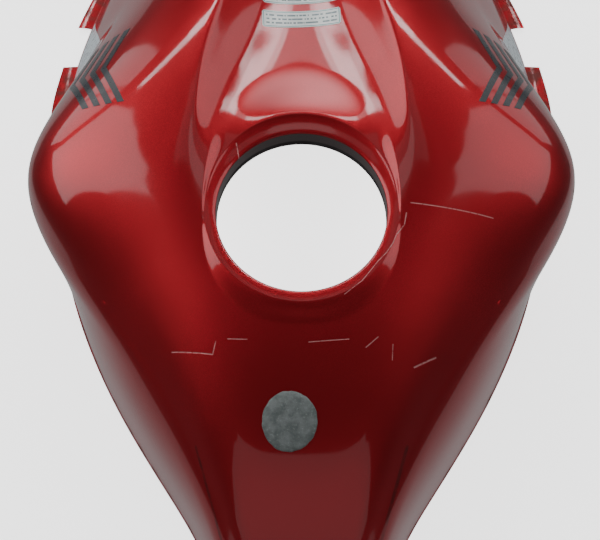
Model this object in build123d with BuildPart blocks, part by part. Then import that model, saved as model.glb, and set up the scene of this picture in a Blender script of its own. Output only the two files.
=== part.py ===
"""Fuel tank cover of a sport motorcycle: one moulded shell with its labels, decals, seals and fasteners.

Millimetres. The origin is the centre of the filler opening's edge, +Y points to the front wheel,
+X to the rider's right and +Z up. The lower edge of the shell is flat, so the cover stands on it.
"""

import math
import os
from typing import NamedTuple

import numpy as np
from build123d import *

os.makedirs("parts", exist_ok=True)

# ---------------------------------------------------------------- driving dimensions
LOWER_EDGE_Z = -160.0
REAR_Y = -262.0
FRONT_Y = 278.0
WALL = 3.0
FILM = 0.4

FILLER_R = 61.0
SKIRT_R = FILLER_R + WALL
SKIRT_BOTTOM_Z = -13.0
RIM_R = 71.5
RIM_CENTRE_Y = 3.0
RIM_CENTRE_Z = 1.7
RIM_TILT = 1.1
MOUND_BASE_Z = -14.0
MOUND_REAR_R = 72.0
MOUND_FRONT_Y = 138.0

RECESS_Y = 240.0
RECESS_HALF = 44.0
HORN_INNER_X = 60.0
HORN_ROUND = 10.0

LIP_HEIGHT = 3.0

GROMMET_HOLE_R = 6.0
GROMMET_FLANGE_R = 8.5
GROMMET_FLANGE_T = 2.0
COLLAR_OUTER_R = 4.5
COLLAR_BORE_R = 3.25
COLLAR_FLANGE_R = 8.0
COLLAR_FLANGE_T = 1.2
FRONT_OPENING_HALF = 72.0
FRONT_OPENING_TOP_Z = -110.0
FRONT_OPENING_ROUND = 15.0
FRONT_MOUNT_X = 28.0
FRONT_MOUNT_Z = -52.0
REAR_MOUNT_Z = -141.0

CLIP_X = 88.0
CLIP_Z = -84.0
CLIP_HEAD_R = 7.5
CLIP_HEAD_T = 2.0
CLIP_SHANK_R = 5.0
CLIP_SHANK_LENGTH = 12.0
CLIP_RECESS_R = 3.8
CLIP_RECESS_DEPTH = 4.8
PIN_HEAD_R = 3.6
PIN_HEAD_T = 1.8
PIN_R = 2.0
PIN_LENGTH = 17.0
PIN_CLEARANCE = 0.15
CLIP_SLOT = 1.2

NUT_X = 88.0
NUT_Z = -137.0
NUT_REACH = 24.0
NUT_WIDTH = 14.0
NUT_SHEET = 0.8
NUT_HOLE_R = 2.6
NUT_COLLAR_R = 4.0
NUT_COLLAR_HEIGHT = 4.0

PEG_X = 143.0
PEG_Y = -62.0
PEG_R = 4.0
PEG_LENGTH = 14.0
LEDGE_Z = -131.0
LEDGE_T = 3.0
LEDGE_INNER_X = 134.0
LEDGE_HALF_WIDTH = 14.0

PAD_CENTRE = (-8.3, -147.4)
PAD_R = 20.0
PAD_T = 2.0

LABEL_SIZE = (59.0, 14.5)
LABEL_TURN = 2.5
FUEL_LABEL_Y = 163.0
INFO_LABEL_Y = 184.0

CHEVRONS = 4
CHEVRON_PITCH = 9.0
CHEVRON_BAR = 5.0
CHEVRON_SWEEP = 16.0
CHEVRON_HALF_HEIGHT = 36.0
CHEVRON_TIP = (177.0, 121.0)

STUCK_GAP = 0.05
SEAL_R = SKIRT_R + 2.5
SEAL_GRIP = 5.0
SEAL_DEPTH = 6.0
FOAM_T = 5.0
MAT_T = 3.0
CUSHION_T = 8.0


class Station(NamedTuple):
    """Half of one cross-section. Angles are the outline's direction in degrees, 0 pointing outwards."""

    y: float
    floor_z: float
    ridge_x: float
    ridge_z: float
    shoulder_x: float
    shoulder_z: float
    foot_x: float
    ridge_in: float
    ridge_out: float
    shoulder_in: float
    shoulder_out: float
    foot_in: float
    shoulder_round: float


STATIONS = [
    Station(-270, -131, 25, -131, 45, -142, 58, -5, -5, -38, -76, -82, 8),
    Station(-215, -70, 33, -72, 61, -92, 74, -6, -6, -38, -74, -80, 9),
    Station(-165, -35, 42, -38, 83, -72, 103, -8, -8, -42, -66, -80, 10),
    Station(-110, -13, 55, -18, 112, -64, 137, -10, -10, -42, -62, -80, 12),
    Station(-40, 1, 72, -4, 162, -68, 170, -7, -9, -48, -84, -86, 14),
    Station(45, 3, 78, 10, 210, -76, 192, 16, -8, -76, -104, -92, 22),
    Station(120, -9, 71, 15, 188, -66, 196, 44, -6, -62, -84, -88, 14),
    Station(190, -17, 52, 12, 143, -58, 190, 50, -8, -54, -60, -76, 10),
    Station(290, -30, 32, -5, 97, -56, 158, 42, -12, -52, -56, -70, 8),
]

SIDES = {"left": -1, "right": 1}
SPANS = 40


# ---------------------------------------------------------------- cross-sections
KNOTS = np.array([station.y for station in STATIONS])
GAPS = np.diff(KNOTS)
VALUES = np.array(STATIONS)


def spline_bends():
    """Second derivatives, at each station, of the natural cubic spline through all stations."""
    system = np.eye(len(KNOTS))
    bends = np.zeros_like(VALUES)
    slopes = np.diff(VALUES, axis=0) / GAPS[:, None]
    for i in range(1, len(KNOTS) - 1):
        system[i, i - 1 : i + 2] = GAPS[i - 1], 2 * (GAPS[i - 1] + GAPS[i]), GAPS[i]
        bends[i] = 6 * (slopes[i] - slopes[i - 1])
    return np.linalg.solve(system, bends)


BENDS = spline_bends()


def station_at(y):
    """The cross-section's values at any y."""
    i = int(np.clip(np.searchsorted(KNOTS, y) - 1, 0, len(GAPS) - 1))
    a = (KNOTS[i + 1] - y) / GAPS[i]
    b = 1 - a
    bend = (a**3 - a) * BENDS[i] + (b**3 - b) * BENDS[i + 1]
    values = a * VALUES[i] + b * VALUES[i + 1] + bend * GAPS[i] ** 2 / 6
    return Station(*values.tolist())


def heading(angle):
    """Unit vector of an outline's direction."""
    return Vector(math.cos(math.radians(angle)), math.sin(math.radians(angle)))


def outward(angle):
    """Unit vector that points out of the shell, square to an outline's direction."""
    return Vector(-math.sin(math.radians(angle)), math.cos(math.radians(angle)))


def inset_corner(corner, angle_in, angle_out, inset):
    """The corner of two outline directions, moved inwards by inset on both sides."""
    share = 1 + math.cos(math.radians(angle_in - angle_out))
    return corner - (outward(angle_in) + outward(angle_out)) * (inset / share)


def half_section(station, inset):
    """Control points of a half-section's Beziers: centre to ridge, to shoulder, round it, to the foot."""
    s = station
    corner = Vector(s.shoulder_x, s.shoulder_z)
    centre = Vector(0, s.floor_z - inset)
    ridge = inset_corner(Vector(s.ridge_x, s.ridge_z), s.ridge_in, s.ridge_out, inset)
    top = corner - heading(s.shoulder_in) * s.shoulder_round - outward(s.shoulder_in) * inset
    side = corner + heading(s.shoulder_out) * s.shoulder_round - outward(s.shoulder_out) * inset
    corner = inset_corner(corner, s.shoulder_in, s.shoulder_out, inset)
    foot = Vector(s.foot_x + inset / math.sin(math.radians(s.foot_in)), LOWER_EDGE_Z)
    crown = (top - ridge).length
    flank = (foot - side).length
    return [
        (centre, centre + Vector(0.5 * ridge.X, 0), ridge - heading(s.ridge_in) * (0.42 * ridge.X), ridge),
        (ridge, ridge + heading(s.ridge_out) * (0.38 * crown), top - heading(s.shoulder_in) * (0.36 * crown), top),
        (top, top + (corner - top) * (2 / 3), side + (corner - side) * (2 / 3), side),
        (side, side + heading(s.shoulder_out) * (flank / 3), foot - heading(s.foot_in) * (flank / 3), foot),
    ]


def section_loop(y, inset, drop):
    """Closed loop of edges round a cross-section. A drop carries its foot straight down."""
    half = half_section(station_at(y), inset)
    foot = half[-1][-1]
    low = foot - Vector(0, drop)
    if drop:
        half.append((foot, low))
    left = [[Vector(-p.X, p.Y) for p in points] for points in half]
    flat = [points[::-1] for points in left[::-1]] + half + [(low, Vector(-low.X, low.Y))]
    upright = [[(p.X, y, p.Y) for p in points] for points in flat]
    return [Edge.make_bezier(*points) for points in upright]


def body_within(inset, drop=0.0):
    """Solid inside the shell's outer face, inset by a wall: ruled faces between neighbouring sections."""
    first, last = STATIONS[0].y, STATIONS[-1].y
    loops = [section_loop(first + (last - first) * i / SPANS, inset, drop) for i in range(SPANS + 1)]
    faces = [Face(Wire(loops[0])), Face(Wire(loops[-1]))]
    for near, far in zip(loops, loops[1:]):
        faces += [Face.make_surface_from_curves(a, b) for a, b in zip(near, far)]
    return Solid(Shell(faces))


def plan_prism(inset):
    """Upright prism of the cover's plan: square at the back, two horns at the front with a recess between."""
    half_width = 240
    with BuildPart() as prism:
        with BuildSketch(Plane.XY.offset(LOWER_EDGE_Z - 10)):
            with BuildLine():
                Polyline(
                    (0, REAR_Y),
                    (half_width, REAR_Y),
                    (half_width, FRONT_Y),
                    (HORN_INNER_X, FRONT_Y),
                    (RECESS_HALF, RECESS_Y),
                    (0, RECESS_Y),
                )
                mirror(about=Plane.YZ)
            plan = make_face()
            horn_corners = [v for v in plan.vertices() if 0 < abs(v.X) < half_width and v.Y > 0]
            fillet(horn_corners, HORN_ROUND)
            if inset:
                offset(amount=-inset, mode=Mode.REPLACE)
        extrude(amount=-LOWER_EDGE_Z + 60)
    return prism.part


# ---------------------------------------------------------------- filler mound
def rim_plane(lower):
    """Plane of the rim crease, a little higher in front, or a plane below it."""
    return Plane(origin=(0, RIM_CENTRE_Y, RIM_CENTRE_Z - lower)).rotated((RIM_TILT, 0, 0))


def mound_solid(inset):
    """The raised boss round the filler: its base is round behind and pointed in front, its top the rim."""
    rear = MOUND_REAR_R - inset
    front = MOUND_FRONT_Y - inset
    rim = RIM_R - inset
    with BuildPart() as mound:
        with BuildSketch(Plane.XY.offset(MOUND_BASE_Z - inset)):
            with BuildLine():
                CenterArc((0, 0), rear, -90, 90)
                Bezier((rear, 0), (rear, 0.46 * front), (0.15 * front, front), (0, front))
                mirror(about=Plane.YZ)
            make_face()
        with BuildSketch(rim_plane(inset)):
            with BuildLine():
                CenterArc((0, 0), rim, -90, 90)
                CenterArc((0, 0), rim, 0, 90)
                mirror(about=Plane.YZ)
            make_face()
        loft(ruled=True)
    return mound.part


def funnel(radius, z):
    """The solid between a level circle round the opening's axis and the rim crease."""
    with BuildPart() as cone:
        with BuildSketch(Plane.XY.offset(z)):
            Circle(radius)
        with BuildSketch(rim_plane(0)):
            Circle(RIM_R)
        loft(ruled=True)
    return cone.part


# ---------------------------------------------------------------- the shell
def front_lip():
    """Outward turned lip along the front of the lower edge, with a notch for the side cowl's tab."""
    with BuildPart() as lip:
        with BuildSketch(Plane.XY.offset(LOWER_EDGE_Z)):
            with BuildLine():
                Spline((186, 84), (203, 118), (208, 150), (202, 190), (190, 234), (172, FRONT_Y))
                Polyline((172, FRONT_Y), (150, FRONT_Y), (150, 84), (186, 84))
            make_face()
            with BuildLine():
                Polyline((215, 236), (179, 236), (190, 199), (215, 199), close=True)
            make_face(mode=Mode.SUBTRACT)
            mirror(about=Plane.YZ)
        extrude(amount=LIP_HEIGHT)
    return lip.part


def side_pegs():
    """Locating pegs under ledges inside both flanks, which drop into rubber grommets on the frame."""
    width = PEG_X + 60 - LEDGE_INNER_X
    with BuildPart() as pegs:
        for side in SIDES.values():
            with BuildSketch(Plane.XY.offset(LEDGE_Z)):
                with Locations((side * (LEDGE_INNER_X + width / 2), PEG_Y)):
                    Rectangle(width, 2 * LEDGE_HALF_WIDTH)
            extrude(amount=LEDGE_T)
            with BuildSketch(Plane.XY.offset(LEDGE_Z)):
                with Locations((side * PEG_X, PEG_Y)):
                    Circle(PEG_R)
            extrude(amount=-PEG_LENGTH)
        add(outer_body, mode=Mode.INTERSECT)
    return pegs.part


def front_face(x, y, z):
    """A plane on the front of the shell that faces forwards."""
    return Plane(origin=(x, y, z), x_dir=(-1, 0, 0), z_dir=(0, 1, 0))


def rear_face(x, y, z):
    """A plane on the back of the shell that faces backwards."""
    return Plane(origin=(x, y, z), x_dir=(1, 0, 0), z_dir=(0, -1, 0))


outer_body = body_within(0)

with BuildPart() as trimmed_cavity:
    add(body_within(WALL, drop=8))
    add(plan_prism(WALL), mode=Mode.INTERSECT)

with BuildPart() as cover_shell:
    add(outer_body)
    add(front_lip())
    add(plan_prism(0), mode=Mode.INTERSECT)
    add(mound_solid(0))
    add(trimmed_cavity.part, mode=Mode.SUBTRACT)
    add(mound_solid(WALL), mode=Mode.SUBTRACT)
    add(funnel(SKIRT_R, -WALL))
    with BuildSketch(Plane.XY.offset(SKIRT_BOTTOM_Z)):
        Circle(SKIRT_R)
    extrude(amount=-SKIRT_BOTTOM_Z)
    add(funnel(FILLER_R, 0), mode=Mode.SUBTRACT)
    with BuildSketch(rim_plane(0)):
        Circle(RIM_R)
    extrude(amount=20, mode=Mode.SUBTRACT)
    with BuildSketch(Plane.XY.offset(SKIRT_BOTTOM_Z - 10)):
        Circle(FILLER_R)
    extrude(amount=60, mode=Mode.SUBTRACT)
    add(side_pegs())
    with BuildSketch(front_face(0, FRONT_Y + 5, LOWER_EDGE_Z)) as front_opening:
        height = FRONT_OPENING_TOP_Z - LOWER_EDGE_Z
        Rectangle(2 * FRONT_OPENING_HALF, 2 * height)
        fillet(front_opening.vertices(), FRONT_OPENING_ROUND)
    extrude(amount=-(FRONT_Y - RECESS_Y + 20), mode=Mode.SUBTRACT)
    with BuildSketch(front_face(0, FRONT_Y + 5, 0)):
        for x, z, radius in (
            (FRONT_MOUNT_X, FRONT_MOUNT_Z, GROMMET_HOLE_R),
            (CLIP_X, CLIP_Z, CLIP_SHANK_R),
            (NUT_X, NUT_Z, NUT_HOLE_R + 0.6),
        ):
            with Locations((x, z), (-x, z)):
                Circle(radius)
    extrude(amount=-(FRONT_Y - RECESS_Y + 20), mode=Mode.SUBTRACT)
    with BuildSketch(rear_face(0, REAR_Y - 5, REAR_MOUNT_Z)):
        Circle(GROMMET_HOLE_R)
    extrude(amount=-15, mode=Mode.SUBTRACT)


# ---------------------------------------------------------------- films and pads that follow the shell
def skin_patch(outline, inner, outer):
    """The part of an upright or sideways prism that lies between two insets of the body."""
    with BuildPart() as patch:
        add(body_within(outer))
        add(outline, mode=Mode.INTERSECT)
        add(body_within(inner), mode=Mode.SUBTRACT)
    return patch.part


def upright_box(x_range, y_range, z_range):
    """An axis-aligned box between the given limits."""
    (x0, x1), (y0, y1), (z0, z1) = x_range, y_range, z_range
    return Pos((x0 + x1) / 2, (y0 + y1) / 2, (z0 + z1) / 2) * Box(x1 - x0, y1 - y0, z1 - z0)


def label(y):
    """A rounded label across the floor of the channel, stuck on a little askew."""
    with BuildPart() as stamp:
        with BuildSketch(Plane.XY.offset(-60)):
            with Locations(Location((0, y), LABEL_TURN)):
                RectangleRounded(*LABEL_SIZE, 1.5)
        extrude(amount=80)
    return skin_patch(stamp.part, 0, -FILM)


def chevron_decal(side):
    """A row of slanted chevrons on a shoulder, their tips towards the outside."""
    with BuildPart() as stamp:
        with BuildSketch(Plane.XY.offset(-110)):
            tip_x, tip_y = CHEVRON_TIP
            for index in range(CHEVRONS):
                x = tip_x - index * CHEVRON_PITCH
                back = x - CHEVRON_SWEEP
                with BuildLine():
                    Polyline(
                        (side * x, tip_y),
                        (side * back, tip_y + CHEVRON_HALF_HEIGHT),
                        (side * (back - CHEVRON_BAR), tip_y + CHEVRON_HALF_HEIGHT),
                        (side * (x - CHEVRON_BAR), tip_y),
                        (side * (back - CHEVRON_BAR), tip_y - CHEVRON_HALF_HEIGHT),
                        (side * back, tip_y - CHEVRON_HALF_HEIGHT),
                        close=True,
                    )
                make_face()
        extrude(amount=140)
    return skin_patch(stamp.part, 0, -FILM)


def flank_decal(side):
    """A pale flash on a front flank, between the shoulder and the lower edge."""
    with BuildPart() as stamp:
        with BuildSketch(Plane(origin=(side * 110, 0, 0), x_dir=(0, 1, 0), z_dir=(side, 0, 0))):
            with BuildLine():
                corners = [(150, -94), (182, -82), (236, -149), (172, -153)]
                Polyline(*[(y, side * z) for y, z in corners], close=True)
            make_face()
        extrude(amount=120)
    return skin_patch(stamp.part, 0, -FILM)


def rear_pad():
    """A round foam pad stuck on the rear slope, a little off the middle."""
    with BuildPart() as stamp:
        with BuildSketch(Plane.XY.offset(-80)):
            with Locations(PAD_CENTRE):
                Circle(PAD_R)
        extrude(amount=100)
    return skin_patch(stamp.part, 0, -PAD_T)


def inner_patch(box, thickness):
    """A layer stuck to the inside of the shell within a box."""
    return skin_patch(box, WALL + thickness, WALL + STUCK_GAP)


def mirrored_range(side, near, far):
    return sorted((side * near, side * far))


def filler_seal():
    """Rubber ring that grips the lower edge of the filler skirt."""
    with BuildPart() as seal:
        with BuildSketch(Plane.XY.offset(SKIRT_BOTTOM_Z - SEAL_DEPTH)):
            Circle(SEAL_R)
            Circle(FILLER_R, mode=Mode.SUBTRACT)
        extrude(amount=SEAL_DEPTH)
        with BuildSketch(Plane.XY.offset(SKIRT_BOTTOM_Z)):
            Circle(SEAL_R)
            Circle(SKIRT_R, mode=Mode.SUBTRACT)
        extrude(amount=SEAL_GRIP)
    return seal.part


# ---------------------------------------------------------------- fasteners
def stepped_ring(face, bore, steps):
    """Coaxial rings on a face: each step is (start, length, outer radius), the start along its normal."""
    with BuildPart() as ring:
        for start, length, radius in steps:
            with BuildSketch(face.offset(start)):
                Circle(radius)
                if bore:
                    Circle(bore, mode=Mode.SUBTRACT)
            extrude(amount=length)
    return ring.part


def grommet(face):
    """Rubber grommet in a hole of the shell, a flange on each side of the wall."""
    return stepped_ring(
        face,
        COLLAR_OUTER_R,
        (
            (0, GROMMET_FLANGE_T, GROMMET_FLANGE_R),
            (-WALL, WALL, GROMMET_HOLE_R),
            (-WALL - GROMMET_FLANGE_T, GROMMET_FLANGE_T, GROMMET_FLANGE_R),
        ),
    )


def collar(face):
    """Flanged steel sleeve inside a grommet, which the bolt clamps."""
    sleeve = WALL + 2 * GROMMET_FLANGE_T
    return stepped_ring(
        face,
        COLLAR_BORE_R,
        (
            (GROMMET_FLANGE_T, COLLAR_FLANGE_T, COLLAR_FLANGE_R),
            (GROMMET_FLANGE_T - sleeve, sleeve, COLLAR_OUTER_R),
        ),
    )


def clip_body(face):
    """Push rivet's outer part: a flat head on a slotted shank, recessed for the pin's head."""
    with BuildPart() as clip:
        add(
            stepped_ring(
                face,
                PIN_R + PIN_CLEARANCE,
                ((0, CLIP_HEAD_T, CLIP_HEAD_R), (-CLIP_SHANK_LENGTH, CLIP_SHANK_LENGTH, CLIP_SHANK_R)),
            )
        )
        fillet(clip.edges().filter_by(GeomType.CIRCLE).sort_by(Axis.Y)[-1:], 0.4)
        with BuildSketch(face.offset(CLIP_HEAD_T)):
            Circle(CLIP_RECESS_R)
        extrude(amount=-CLIP_RECESS_DEPTH, mode=Mode.SUBTRACT)
        with BuildSketch(face.offset(-CLIP_SHANK_LENGTH)):
            Rectangle(3 * CLIP_SHANK_R, CLIP_SLOT)
            Rectangle(CLIP_SLOT, 3 * CLIP_SHANK_R)
        extrude(amount=CLIP_SHANK_LENGTH - WALL - 2, mode=Mode.SUBTRACT)
    return clip.part


def clip_pin(face):
    """Push rivet's centre pin: pushed in to let go, pulled out to set it again."""
    top = CLIP_HEAD_T
    with BuildPart() as pin:
        add(stepped_ring(face, 0, ((top - PIN_HEAD_T, PIN_HEAD_T, PIN_HEAD_R), (top - PIN_LENGTH, PIN_LENGTH, PIN_R))))
        with BuildSketch(face.offset(top)):
            Rectangle(4, 1)
            Rectangle(1, 4)
        extrude(amount=-0.8, mode=Mode.SUBTRACT)
    return pin.part


def clip_nut(side):
    """Sheet steel nut that slides over the edge of the front opening, with a threaded collar behind."""
    edge = FRONT_OPENING_HALF
    rear = FRONT_Y - WALL
    low, high = NUT_Z - NUT_WIDTH / 2, NUT_Z + NUT_WIDTH / 2
    block = upright_box(
        mirrored_range(side, edge - NUT_SHEET, edge + NUT_REACH),
        (rear - NUT_SHEET, FRONT_Y + NUT_SHEET),
        (low, high),
    )
    slot = upright_box(mirrored_range(side, edge, edge + 2 * NUT_REACH), (rear, FRONT_Y), (low - 1, high + 1))
    face = front_face(side * NUT_X, rear - NUT_SHEET, NUT_Z)
    with BuildPart() as nut:
        add(block)
        add(slot, mode=Mode.SUBTRACT)
        with BuildSketch(face):
            Circle(NUT_COLLAR_R)
        extrude(amount=-NUT_COLLAR_HEIGHT)
        with BuildSketch(face.offset(10)):
            Circle(NUT_HOLE_R)
        extrude(amount=-20, mode=Mode.SUBTRACT)
    return nut.part


pieces = {
    "cover_shell": cover_shell.part,
    "filler_seal": filler_seal(),
    "fuel_label": label(FUEL_LABEL_Y),
    "info_label": label(INFO_LABEL_Y),
    "rear_pad": rear_pad(),
    "heat_mat": inner_patch(upright_box((-50, 50), (-195, -78), (-110, 10)), MAT_T),
    "rear_grommet": grommet(rear_face(0, REAR_Y, REAR_MOUNT_Z)),
    "rear_collar": collar(rear_face(0, REAR_Y, REAR_MOUNT_Z)),
}

for name, side in SIDES.items():
    mount_face = front_face(side * FRONT_MOUNT_X, RECESS_Y, FRONT_MOUNT_Z)
    clip_face = front_face(side * CLIP_X, FRONT_Y, CLIP_Z)
    foam_box = upright_box(mirrored_range(side, 120, 230), (-25, 75), (-144, -100))
    cushion_box = upright_box(mirrored_range(side, 12, 36), (150, 190), (-60, 20))
    pieces[f"{name}_chevron_decal"] = chevron_decal(side)
    pieces[f"{name}_flank_decal"] = flank_decal(side)
    pieces[f"{name}_flank_foam"] = inner_patch(foam_box, FOAM_T)
    pieces[f"{name}_front_cushion"] = inner_patch(cushion_box, CUSHION_T)
    pieces[f"{name}_front_grommet"] = grommet(mount_face)
    pieces[f"{name}_front_collar"] = collar(mount_face)
    pieces[f"{name}_clip_body"] = clip_body(clip_face)
    pieces[f"{name}_clip_pin"] = clip_pin(clip_face)
    pieces[f"{name}_clip_nut"] = clip_nut(side)

for name, piece in pieces.items():
    piece.label = name
    export_step(piece, f"parts/{name}.step")
    print(f"{name}: {piece.volume:.0f} mm3, {len(piece.solids())} solids, valid {piece.is_valid}")
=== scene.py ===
"""Looks of a motorcycle fuel tank cover: a glossy red moulding with decals, labels, seals and fasteners.

Lengths in the tables and functions are millimetres, in the frame of the CAD model: origin at the centre
of the filler opening, +Y to the front wheel, +Z up. Meshes are scaled to metres when they are made.
"""

import math

import bmesh
import bpy
import numpy as np
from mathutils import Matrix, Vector


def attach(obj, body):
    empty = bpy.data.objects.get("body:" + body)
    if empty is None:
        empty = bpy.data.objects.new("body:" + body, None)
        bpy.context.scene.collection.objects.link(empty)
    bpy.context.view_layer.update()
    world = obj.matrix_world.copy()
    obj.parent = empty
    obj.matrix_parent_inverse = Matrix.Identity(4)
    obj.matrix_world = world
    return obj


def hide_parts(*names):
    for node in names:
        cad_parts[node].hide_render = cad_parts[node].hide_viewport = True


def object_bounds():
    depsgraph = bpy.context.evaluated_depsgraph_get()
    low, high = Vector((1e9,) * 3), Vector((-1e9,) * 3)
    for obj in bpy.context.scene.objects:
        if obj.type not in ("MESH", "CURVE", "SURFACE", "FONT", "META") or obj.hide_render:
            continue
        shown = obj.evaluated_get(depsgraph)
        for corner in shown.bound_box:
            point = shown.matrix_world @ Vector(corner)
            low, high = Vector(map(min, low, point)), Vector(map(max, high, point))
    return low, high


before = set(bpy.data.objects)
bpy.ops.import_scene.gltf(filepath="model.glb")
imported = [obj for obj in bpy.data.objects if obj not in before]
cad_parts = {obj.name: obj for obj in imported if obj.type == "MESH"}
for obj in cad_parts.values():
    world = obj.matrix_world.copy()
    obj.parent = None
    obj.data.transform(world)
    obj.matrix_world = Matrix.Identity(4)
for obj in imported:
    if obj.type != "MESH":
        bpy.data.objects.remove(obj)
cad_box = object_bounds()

MM = 0.001

# ---------------------------------------------------------------- sizes, as in the CAD model
LOWER_EDGE_Z = -160.0
REAR_Y, FRONT_Y = -262.0, 278.0
WALL = 3.0

FILLER_R = 61.0
SKIRT_BOTTOM_Z = -13.0
RIM_SIDE_R, RIM_FRONT_R = 68.6, 75.5
RIM_SIDE_Z, RIM_SWING_Z = 2.0, 1.2
MOUND_REAR_R, MOUND_SIDE_R, MOUND_FRONT_Y = 84.0, 71.0, 121.0

FOOT_POWER = 2.5

RECESS_Y, RECESS_HALF, HORN_X = 240.0, 38.0, 62.0
OPENING_HALF, OPENING_TOP_Z, OPENING_ROUND = 72.0, -110.0, 15.0
LIP_Y = np.array([84.0, 118.0, 150.0, 190.0, 234.0, 278.0])
LIP_X = np.array([186.0, 203.0, 208.0, 202.0, 190.0, 172.0])
NOTCH_Y = (199.0, 236.0)
BEAD = 1.0

# y, floor z, ridge x, ridge z, shoulder x, shoulder z, foot x,
# outline direction before and after the ridge, before and after the shoulder, at the foot, shoulder rounding
STATIONS = np.array([
    (-270, -131, 25, -131, 45, -142, 58, -5, -5, -38, -76, -82, 8),
    (-215, -70, 33, -72, 61, -92, 74, -6, -6, -38, -74, -80, 9),
    (-165, -35, 42, -38, 83, -72, 103, -8, -8, -42, -66, -80, 10),
    (-110, -13, 55, -18, 112, -64, 137, -10, -10, -42, -62, -80, 12),
    (-40, 1, 72, -4, 162, -68, 170, -7, -9, -48, -84, -86, 14),
    (45, 3, 78, 10, 210, -76, 192, 16, -8, -76, -104, -92, 22),
    (120, -9, 71, 15, 188, -66, 196, 44, -6, -62, -84, -88, 14),
    (190, -17, 52, 12, 143, -58, 190, 50, -8, -54, -60, -76, 10),
    (290, -30, 32, -5, 97, -56, 158, 42, -12, -52, -56, -70, 8),
], float)

RIDGE_ROUND = 2.6
RIDGE_FADE_Y, RIDGE_SPREAD = (10.0, 95.0), 13.0
FLOOR_STEPS, RIDGE_STEPS, CROWN_STEPS, SHOULDER_STEPS, FLANK_STEPS = 12, 5, 44, 8, 24
ROW_STEP = 3.0
WARP_Y = 200.0
PATCH_Y = (-100.0, 150.0)


# ---------------------------------------------------------------- cross-sections of the outer face
def spline_bends(knots, values):
    """Second derivatives of the natural cubic spline through values at knots."""
    gaps = np.diff(knots)
    system = np.eye(len(knots))
    right = np.zeros_like(values)
    slopes = (np.diff(values, axis=0).T / gaps).T
    for i in range(1, len(knots) - 1):
        system[i, i - 1:i + 2] = gaps[i - 1], 2 * (gaps[i - 1] + gaps[i]), gaps[i]
        right[i] = 6 * (slopes[i] - slopes[i - 1])
    return np.linalg.solve(system, right)


def spline_at(knots, values, bends, where):
    """Value of the spline at one place, from its knots, values and bends."""
    i = int(np.clip(np.searchsorted(knots, where) - 1, 0, len(knots) - 2))
    gap = knots[i + 1] - knots[i]
    a, b = (knots[i + 1] - where) / gap, (where - knots[i]) / gap
    bend = (a**3 - a) * bends[i] + (b**3 - b) * bends[i + 1]
    return a * values[i] + b * values[i + 1] + bend * gap**2 / 6


STATION_BENDS = spline_bends(STATIONS[:, 0], STATIONS[:, 1:])
LIP_BENDS = spline_bends(LIP_Y, LIP_X)


def heading(angle):
    """Unit vector at an angle in degrees."""
    return np.array([math.cos(math.radians(angle)), math.sin(math.radians(angle))])


def bezier(p0, p1, p2, p3, t):
    """Points of a cubic Bezier curve at parameters t."""
    t = np.asarray(t)[:, None]
    return (1 - t) ** 3 * p0 + 3 * (1 - t) ** 2 * t * p1 + 3 * (1 - t) * t**2 * p2 + t**3 * p3


def along(points, count):
    """Points evenly spaced along a polyline."""
    steps = np.r_[0, np.cumsum(np.linalg.norm(np.diff(points, axis=0), axis=1))]
    wanted = np.linspace(0, steps[-1], count + 1)
    return np.column_stack([np.interp(wanted, steps, points[:, k]) for k in (0, 1)])


def cut_at(points, axis, value):
    """The start of a polyline up to where its coordinate passes a value."""
    way = 1 if points[-1, axis] > points[0, axis] else -1
    end = [np.interp(way * value, way * points[:, axis], points[:, k]) for k in (0, 1)]
    return np.vstack([points[way * points[:, axis] < way * value], end])


def soften_ridge(y, runs):
    """Spreads the ridge out in runs of top-face points, fully behind the filler and not at all in front."""
    share = np.clip((RIDGE_FADE_Y[1] - y) / (RIDGE_FADE_Y[1] - RIDGE_FADE_Y[0]), 0, 1)
    spread = RIDGE_SPREAD * share * share * (3 - 2 * share)
    if spread < 0.5:
        return runs
    line = np.vstack(runs)
    offsets = np.linspace(-2, 2, 17)
    weights = np.exp(-offsets**2 / 2)
    weights /= weights.sum()
    softened = []
    for run in runs:
        x, z = run[:, 0], run[:, 1]
        spread_z = sum(w * np.interp(np.abs(x + o * spread), line[:, 0], line[:, 1])
                       for o, w in zip(offsets, weights))
        reach = np.clip((line[-1, 0] - x) / (2.5 * spread), 0, 1)
        softened.append(np.column_stack([x, z + (spread_z - z) * reach]))
    return softened


def half_section(y):
    """Points (x, z) of a half-section in five runs: floor, rounded ridge, crown, shoulder and flank."""
    values = spline_at(STATIONS[:, 0], STATIONS[:, 1:], STATION_BENDS, y)
    floor_z, rx, rz, sx, sz, fx, r_in, r_out, s_in, s_out, f_in, rounding = values
    floor, ridge, corner = np.array([0, floor_z]), np.array([rx, rz]), np.array([sx, sz])
    foot = np.array([fx, LOWER_EDGE_Z])
    top = corner - heading(s_in) * rounding
    side = corner + heading(s_out) * rounding
    width, depth = np.linalg.norm(top - ridge), np.linalg.norm(foot - side)
    even = np.linspace(0, 1, 120)
    inner = bezier(floor, floor + (0.5 * rx, 0), ridge - heading(r_in) * 0.42 * rx, ridge, even)
    outer = bezier(
        ridge, ridge + heading(r_out) * 0.38 * width, top - heading(s_in) * 0.36 * width, top, even)
    inner = cut_at(inner, 0, rx - RIDGE_ROUND)
    outer = cut_at(outer[::-1], 0, rx + RIDGE_ROUND)[::-1]
    t = np.linspace(0, 1, RIDGE_STEPS + 1)[:, None]
    rounded = (1 - t) ** 2 * inner[-1] + 2 * (1 - t) * t * ridge + t**2 * outer[0]
    third = 2 / 3
    shoulder = bezier(top, top + (corner - top) * third, side + (corner - side) * third, side,
                      np.linspace(0, 1, SHOULDER_STEPS + 1))
    flank = bezier(side, side + heading(s_out) * depth / 3, foot - heading(f_in) * depth / 3, foot, even)
    inner, rounded, outer = soften_ridge(y, [inner, rounded, outer])
    return inner, rounded, outer, shoulder, flank


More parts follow.
